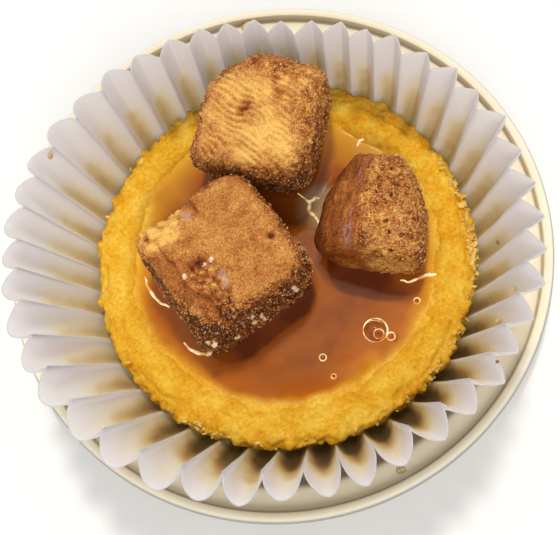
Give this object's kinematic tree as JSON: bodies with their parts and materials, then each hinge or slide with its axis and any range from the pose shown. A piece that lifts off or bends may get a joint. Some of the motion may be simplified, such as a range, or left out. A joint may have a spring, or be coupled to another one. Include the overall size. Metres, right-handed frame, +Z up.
{
  "type": "caramel pudding in a paper case",
  "caption": "Round sponge pudding with a caramel pool and browned sugared bites on top, in a pleated paper case on a small round metal dish.",
  "frame": {"origin": "centre of the dish's flat underside", "axes": "+Z up; -Y is the front, the side that the picture was taken from; +X to the right"},
  "size_m": [0.0896, 0.0896, 0.03],
  "materials": {
    "dish_metal": "champagne coloured sheet metal, satin with a bright rolled bead",
    "case_paper": "white greaseproof baking paper, matt, stained warm brown down in the folds",
    "pudding_sponge": "moist golden yellow crumb with a ragged edge",
    "caramel_sauce": "glossy translucent caramel, amber where it is thin",
    "bite_crust": "browned crumb crusted with cinnamon and sugar grains"
  },
  "bodies": {
    "root": {"dish": "dish_metal", "paper_case": "case_paper", "pudding": "pudding_sponge", "caramel": "caramel_sauce", "bite_upper": "bite_crust", "bite_left": "bite_crust", "bite_right": "bite_crust"}
  },
  "joints": []
}
